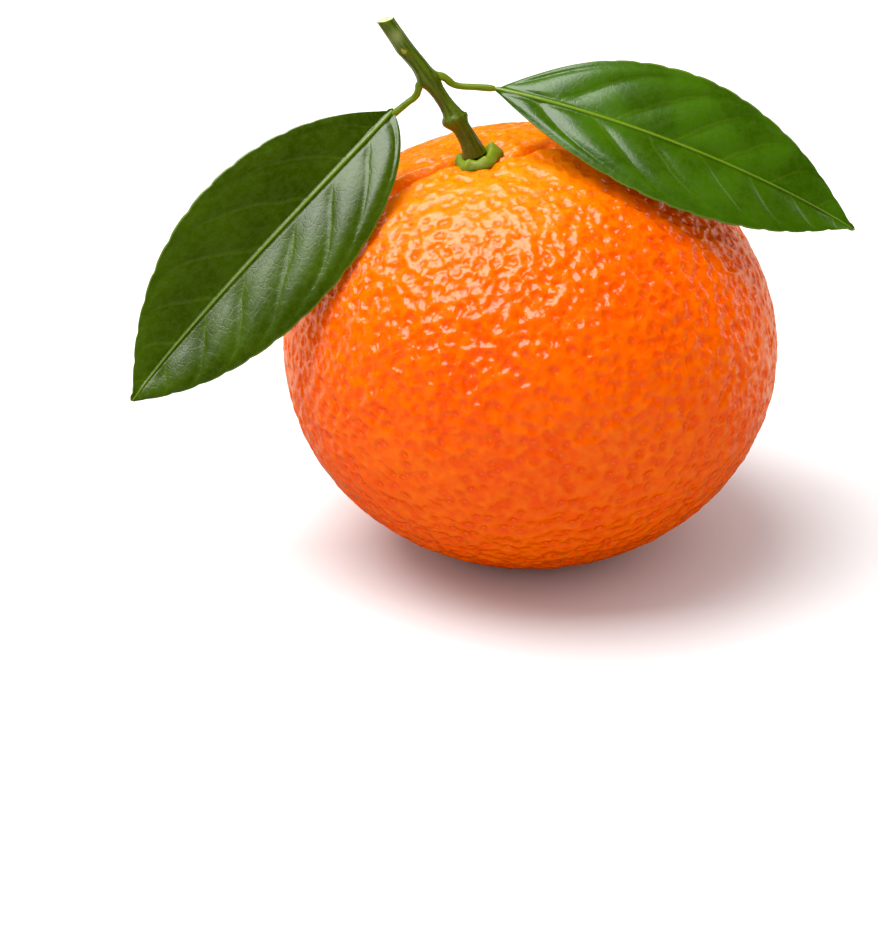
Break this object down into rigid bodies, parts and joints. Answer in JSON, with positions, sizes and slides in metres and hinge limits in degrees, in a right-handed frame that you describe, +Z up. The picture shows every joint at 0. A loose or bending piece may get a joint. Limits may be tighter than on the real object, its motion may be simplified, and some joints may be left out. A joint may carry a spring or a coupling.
{
  "type": "mandarin",
  "caption": "Whole picked mandarin with an oblate pitted orange rind, a green lobed calyx, a short cut twig and a pair of leaves on slender stalks.",
  "frame": {"origin": "centre of the small flat spot that the fruit rests on", "axes": "+Z up from the surface it rests on, through the fruit; +X towards the tip of the right leaf, as seen from the front; +Y away from the front"},
  "size_m": [0.1003, 0.0698, 0.0791],
  "materials": {
    "rind": "satin",
    "calyx_green": "matte",
    "twig_bark": "satin",
    "petiole_green": "satin",
    "leaf_green": "satin"
  },
  "bodies": {
    "root": {"fruit": "rind", "calyx": "calyx_green", "twig": "twig_bark", "left_petiole": "petiole_green", "right_petiole": "petiole_green", "left_leaf": "leaf_green", "right_leaf": "leaf_green"}
  },
  "joints": []
}
